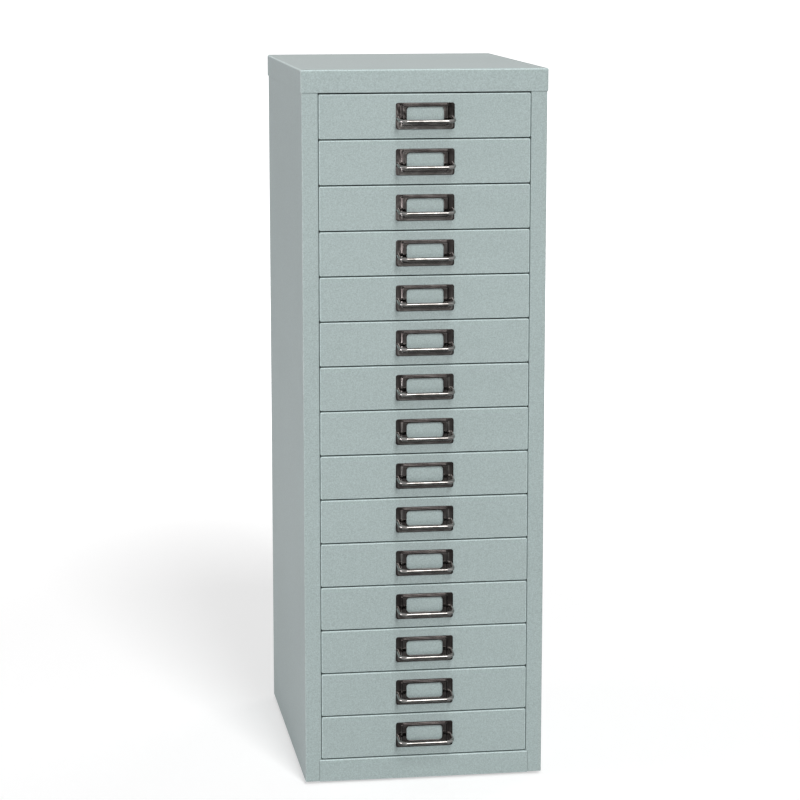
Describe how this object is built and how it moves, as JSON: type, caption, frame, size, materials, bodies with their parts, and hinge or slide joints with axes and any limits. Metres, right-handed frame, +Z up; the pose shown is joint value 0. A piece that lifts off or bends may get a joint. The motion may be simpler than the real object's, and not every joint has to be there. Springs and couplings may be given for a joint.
{
  "type": "multi-drawer cabinet",
  "caption": "Tall narrow free-standing sheet-steel cabinet with a stack of shallow sliding paper drawers, each with a wire pull and label frame",
  "frame": {"origin": "on the floor, under the middle of the whole box with the pulls", "axes": "+Z up, the drawers open towards -Y, +X to the right of someone facing the front"},
  "size_m": [0.2924, 0.4048, 0.86],
  "materials": {
    "painted_steel": "fine-textured grey-green powder coat, semi-matt",
    "painted_tray": "the same powder coat, thinner and smoother inside the drawers",
    "nickel_plate": "bright dark nickel plate",
    "runner_steel": "zinc-plated, with rubbed tracks",
    "glide_plastic": "moulded black"
  },
  "bodies": {
    "cabinet": {"side_left": "painted_steel", "side_right": "painted_steel", "back_panel": "painted_steel", "base_panel": "painted_steel", "head_rail": "painted_steel", "top_cap": "painted_steel", "runners_left": "runner_steel", "runners_right": "runner_steel", "glide_front_left": "glide_plastic", "glide_front_right": "glide_plastic", "glide_rear_left": "glide_plastic", "glide_rear_right": "glide_plastic"},
    "drawer_01": {"drawer_01_front": "painted_steel", "drawer_01_tray": "painted_tray", "drawer_01_pull": "nickel_plate"},
    "drawer_02": {"drawer_02_front": "painted_steel", "drawer_02_tray": "painted_tray", "drawer_02_pull": "nickel_plate"},
    "drawer_03": {"drawer_03_front": "painted_steel", "drawer_03_tray": "painted_tray", "drawer_03_pull": "nickel_plate"},
    "drawer_04": {"drawer_04_front": "painted_steel", "drawer_04_tray": "painted_tray", "drawer_04_pull": "nickel_plate"},
    "drawer_05": {"drawer_05_front": "painted_steel", "drawer_05_tray": "painted_tray", "drawer_05_pull": "nickel_plate"},
    "drawer_06": {"drawer_06_front": "painted_steel", "drawer_06_tray": "painted_tray", "drawer_06_pull": "nickel_plate"},
    "drawer_07": {"drawer_07_front": "painted_steel", "drawer_07_tray": "painted_tray", "drawer_07_pull": "nickel_plate"},
    "drawer_08": {"drawer_08_front": "painted_steel", "drawer_08_tray": "painted_tray", "drawer_08_pull": "nickel_plate"},
    "drawer_09": {"drawer_09_front": "painted_steel", "drawer_09_tray": "painted_tray", "drawer_09_pull": "nickel_plate"},
    "drawer_10": {"drawer_10_front": "painted_steel", "drawer_10_tray": "painted_tray", "drawer_10_pull": "nickel_plate"},
    "drawer_11": {"drawer_11_front": "painted_steel", "drawer_11_tray": "painted_tray", "drawer_11_pull": "nickel_plate"},
    "drawer_12": {"drawer_12_front": "painted_steel", "drawer_12_tray": "painted_tray", "drawer_12_pull": "nickel_plate"},
    "drawer_13": {"drawer_13_front": "painted_steel", "drawer_13_tray": "painted_tray", "drawer_13_pull": "nickel_plate"},
    "drawer_14": {"drawer_14_front": "painted_steel", "drawer_14_tray": "painted_tray", "drawer_14_pull": "nickel_plate"},
    "drawer_15": {"drawer_15_front": "painted_steel", "drawer_15_tray": "painted_tray", "drawer_15_pull": "nickel_plate"}
  },
  "joints": [
    {"name": "drawer_01_slide", "type": "slide", "parent": "cabinet", "child": "drawer_01", "axis": [0, -1, 0], "range_m": [0, 0.265]},
    {"name": "drawer_02_slide", "type": "slide", "parent": "cabinet", "child": "drawer_02", "axis": [0, -1, 0], "range_m": [0, 0.265]},
    {"name": "drawer_03_slide", "type": "slide", "parent": "cabinet", "child": "drawer_03", "axis": [0, -1, 0], "range_m": [0, 0.265]},
    {"name": "drawer_04_slide", "type": "slide", "parent": "cabinet", "child": "drawer_04", "axis": [0, -1, 0], "range_m": [0, 0.265]},
    {"name": "drawer_05_slide", "type": "slide", "parent": "cabinet", "child": "drawer_05", "axis": [0, -1, 0], "range_m": [0, 0.265]},
    {"name": "drawer_06_slide", "type": "slide", "parent": "cabinet", "child": "drawer_06", "axis": [0, -1, 0], "range_m": [0, 0.265]},
    {"name": "drawer_07_slide", "type": "slide", "parent": "cabinet", "child": "drawer_07", "axis": [0, -1, 0], "range_m": [0, 0.265]},
    {"name": "drawer_08_slide", "type": "slide", "parent": "cabinet", "child": "drawer_08", "axis": [0, -1, 0], "range_m": [0, 0.265]},
    {"name": "drawer_09_slide", "type": "slide", "parent": "cabinet", "child": "drawer_09", "axis": [0, -1, 0], "range_m": [0, 0.265]},
    {"name": "drawer_10_slide", "type": "slide", "parent": "cabinet", "child": "drawer_10", "axis": [0, -1, 0], "range_m": [0, 0.265]},
    {"name": "drawer_11_slide", "type": "slide", "parent": "cabinet", "child": "drawer_11", "axis": [0, -1, 0], "range_m": [0, 0.265]},
    {"name": "drawer_12_slide", "type": "slide", "parent": "cabinet", "child": "drawer_12", "axis": [0, -1, 0], "range_m": [0, 0.265]},
    {"name": "drawer_13_slide", "type": "slide", "parent": "cabinet", "child": "drawer_13", "axis": [0, -1, 0], "range_m": [0, 0.265]},
    {"name": "drawer_14_slide", "type": "slide", "parent": "cabinet", "child": "drawer_14", "axis": [0, -1, 0], "range_m": [0, 0.265]},
    {"name": "drawer_15_slide", "type": "slide", "parent": "cabinet", "child": "drawer_15", "axis": [0, -1, 0], "range_m": [0, 0.265]}
  ]
}
